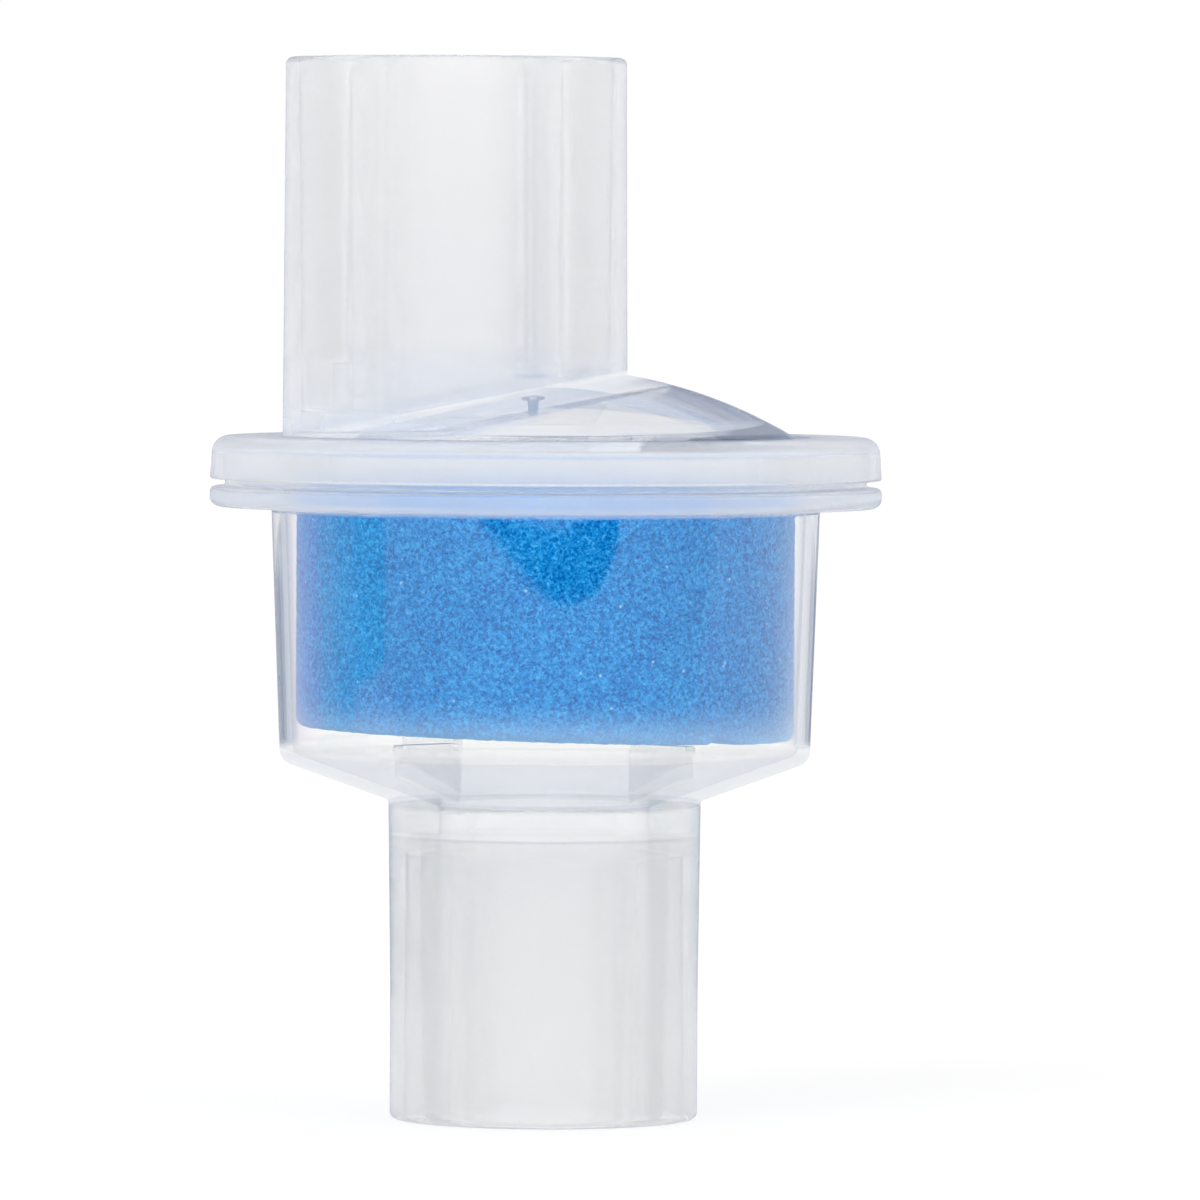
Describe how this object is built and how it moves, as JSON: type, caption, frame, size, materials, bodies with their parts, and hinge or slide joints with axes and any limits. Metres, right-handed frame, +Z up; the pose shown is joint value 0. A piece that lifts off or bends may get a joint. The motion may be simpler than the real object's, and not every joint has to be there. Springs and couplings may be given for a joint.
{
  "type": "heat and moisture exchanger",
  "caption": "Clear breathing-circuit heat and moisture exchanger: a round foam chamber with a coaxial patient port below and an offset coaxial machine port on its domed top.",
  "frame": {"origin": "on the chamber's axis, in the plane of the lower port's open end, which is the foot it stands on", "axes": "+Z up the chamber's axis from the patient port to the machine port, -X towards the side to which the machine port is offset, -Y towards the camera of the picture"},
  "size_m": [0.048, 0.048, 0.0758],
  "materials": {
    "upper_housing": "clear gloss moulded plastic",
    "lower_housing": "clear gloss moulded plastic",
    "foam": "open-cell foam, matt"
  },
  "bodies": {
    "root": {"upper_housing": "upper_housing", "lower_housing": "lower_housing", "foam": "foam"}
  },
  "joints": []
}
